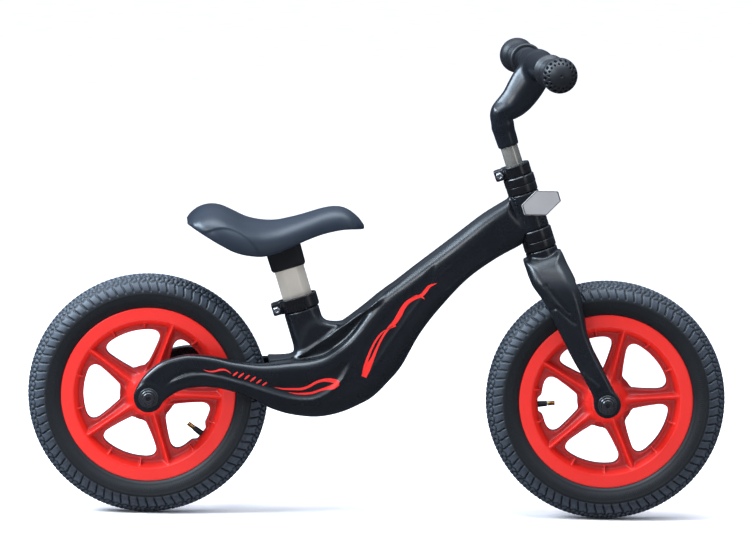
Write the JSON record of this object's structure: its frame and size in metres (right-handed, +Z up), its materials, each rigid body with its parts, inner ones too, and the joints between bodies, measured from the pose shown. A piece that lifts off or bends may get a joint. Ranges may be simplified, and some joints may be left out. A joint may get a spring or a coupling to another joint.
{
  "type": "child's balance bike",
  "caption": "Child's balance bike: two five-spoke wheels with air tyres on a one-piece cast frame, with a saddle and a handlebar that slide in clamps.",
  "frame": {"origin": "on the ground, midway between the two wheels, in the bike's middle plane", "axes": "+X forward, +Y to the rider's left, +Z up"},
  "size_m": [0.884, 0.4105, 0.6035],
  "materials": {
    "cast_black": "satin",
    "clamp_black": "satin",
    "stem_black": "satin",
    "base_plastic": "matte",
    "saddle_slate": "satin",
    "grip_rubber": "matte",
    "badge_silver": "brushed",
    "polished_aluminium": "polished",
    "wheel_red": "semi-gloss",
    "tyre": "matte",
    "tube_rubber": "matte",
    "valve_rubber": "satin",
    "valve_brass": "polished",
    "axle_black": "satin",
    "zinc_steel": "zinc plated"
  },
  "bodies": {
    "frame": {"main_frame": "cast_black", "headset_upper_cup": "clamp_black", "headset_lower_cup": "clamp_black", "headset_upper_bearing": "zinc_steel", "headset_lower_bearing": "zinc_steel", "head_badge": "badge_silver", "seat_clamp": "clamp_black", "seat_clamp_bolt": "zinc_steel", "seat_clamp_nut": "zinc_steel", "rear_axle": "zinc_steel", "rear_hub_spacer": "zinc_steel", "rear_axle_spacer_left": "zinc_steel", "rear_axle_spacer_right": "zinc_steel", "rear_axle_washer_left": "axle_black", "rear_axle_washer_right": "axle_black", "rear_axle_bolt_left": "axle_black", "rear_axle_bolt_right": "axle_black"},
    "seat": {"seat_post": "polished_aluminium", "saddle_base": "base_plastic", "saddle_shell": "saddle_slate", "saddle_screw_1": "zinc_steel", "saddle_screw_2": "zinc_steel", "saddle_screw_3": "zinc_steel", "saddle_screw_4": "zinc_steel"},
    "steering": {"fork": "cast_black", "steerer_tube": "zinc_steel", "steerer_clamp": "clamp_black", "steerer_clamp_bolt": "zinc_steel", "steerer_clamp_nut": "zinc_steel", "front_axle": "zinc_steel", "front_hub_spacer": "zinc_steel", "front_axle_spacer_left": "zinc_steel", "front_axle_spacer_right": "zinc_steel", "front_axle_washer_left": "axle_black", "front_axle_washer_right": "axle_black", "front_axle_bolt_left": "axle_black", "front_axle_bolt_right": "axle_black"},
    "handlebar": {"handlebar_post": "polished_aluminium", "handlebar_stem": "stem_black", "grip_left": "grip_rubber", "grip_right": "grip_rubber"},
    "front_wheel": {"front_wheel": "wheel_red", "front_tyre": "tyre", "front_inner_tube": "tube_rubber", "front_valve_stem": "valve_rubber", "front_valve_tip": "valve_brass", "front_hub_bearing_left": "zinc_steel", "front_hub_bearing_right": "zinc_steel"},
    "rear_wheel": {"rear_wheel": "wheel_red", "rear_tyre": "tyre", "rear_inner_tube": "tube_rubber", "rear_valve_stem": "valve_rubber", "rear_valve_tip": "valve_brass", "rear_hub_bearing_left": "zinc_steel", "rear_hub_bearing_right": "zinc_steel"}
  },
  "joints": [
    {"name": "steering", "type": "hinge", "parent": "frame", "child": "steering", "pos_m": [0.1857, 0, 0.3979], "axis": [-0.3173, 0, 0.9483], "range_deg": [-90, 90]},
    {"name": "handlebar_height", "type": "slide", "parent": "steering", "child": "handlebar", "axis": [-0.3173, 0, 0.9483], "range_m": [-0.015, 0.05]},
    {"name": "seat_height", "type": "slide", "parent": "frame", "child": "seat", "axis": [-0.3007, 0, 0.9537], "range_m": [-0.02, 0.06]},
    {"name": "front_wheel_spin", "type": "hinge", "parent": "steering", "child": "front_wheel", "pos_m": [0.29, 0, 0.152], "axis": [0, 1, 0], "continuous": true},
    {"name": "rear_wheel_spin", "type": "hinge", "parent": "frame", "child": "rear_wheel", "pos_m": [-0.29, 0, 0.152], "axis": [0, 1, 0], "continuous": true}
  ]
}
